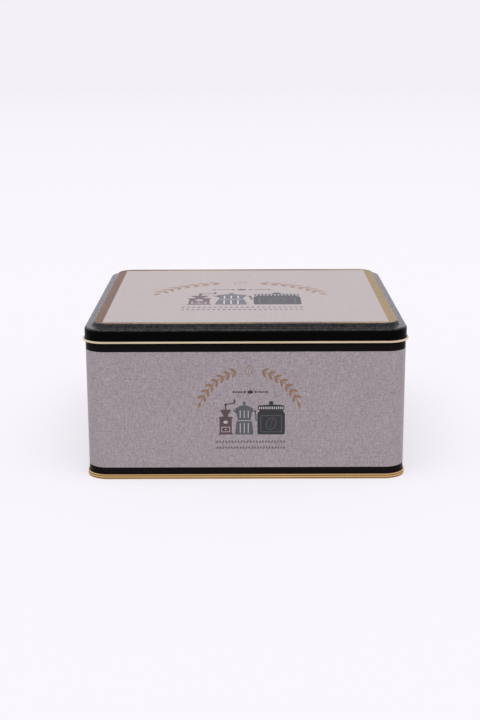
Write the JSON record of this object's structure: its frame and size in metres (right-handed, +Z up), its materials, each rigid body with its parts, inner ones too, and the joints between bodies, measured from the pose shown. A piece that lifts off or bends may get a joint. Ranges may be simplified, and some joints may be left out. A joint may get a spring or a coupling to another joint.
{
  "type": "slip-lid coffee tin",
  "caption": "Square tinplate storage tin with a double-seamed base, a rolled rim and a deep slip lid with a raised panel.",
  "frame": {"origin": "middle of the base, on the surface that the tin stands on", "axes": "+Z up through the middle of the lid; -Y out of the front wall, +X to its right"},
  "size_m": [0.2032, 0.2032, 0.0991],
  "materials": {
    "printed_tinplate": "satin printed enamel on tinplate",
    "lacquered_tinplate": "clear gold lacquer on tinplate",
    "sealing_compound": "matte cast compound"
  },
  "bodies": {
    "tin_body": {"body_shell": "printed_tinplate", "base_end": "lacquered_tinplate", "seam_compound": "sealing_compound"},
    "lid_body": {"lid": "printed_tinplate"}
  },
  "joints": [
    {"name": "lid_lift", "type": "slide", "parent": "tin_body", "child": "lid_body", "axis": [0, 0, 1], "range_m": [0, 0.12]}
  ]
}
